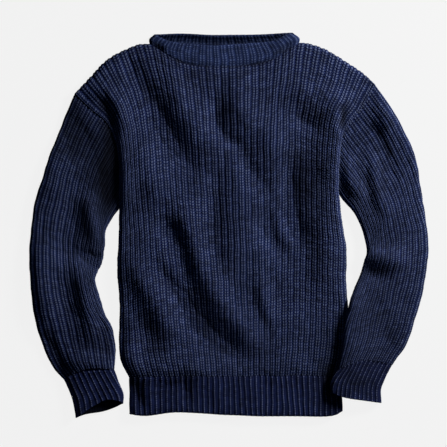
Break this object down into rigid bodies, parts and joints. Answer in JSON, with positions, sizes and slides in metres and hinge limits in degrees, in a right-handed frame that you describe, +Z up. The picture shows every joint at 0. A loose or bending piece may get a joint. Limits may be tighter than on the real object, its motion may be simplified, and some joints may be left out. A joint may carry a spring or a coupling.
{
  "type": "boat neck sweater",
  "caption": "Chunky rib knit boat neck sweater with drop shoulders, ribbed cuffs, hem and funnel neckband, laid flat on its back.",
  "frame": {"origin": "a point on the flat underside of the back, at the middle of the garment's outline", "axes": "+X across the chest towards the sleeve whose cuff lies on the hem, +Y from the hem towards the neck, +Z up from the surface that it lies on"},
  "size_m": [0.748, 0.7232, 0.024],
  "materials": {
    "navy_rib_knit": "chunky half cardigan rib knit in navy wool, matt with a soft nap",
    "navy_trim_knit": "tighter plain rib in the same navy wool, matt"
  },
  "bodies": {
    "root": {"front": "navy_rib_knit", "back": "navy_rib_knit", "sleeve_left": "navy_rib_knit", "sleeve_right": "navy_rib_knit", "cuff_left": "navy_trim_knit", "cuff_right": "navy_trim_knit", "hem_front": "navy_trim_knit", "hem_back": "navy_trim_knit", "neckband_front": "navy_trim_knit", "neckband_back": "navy_trim_knit"}
  },
  "joints": []
}
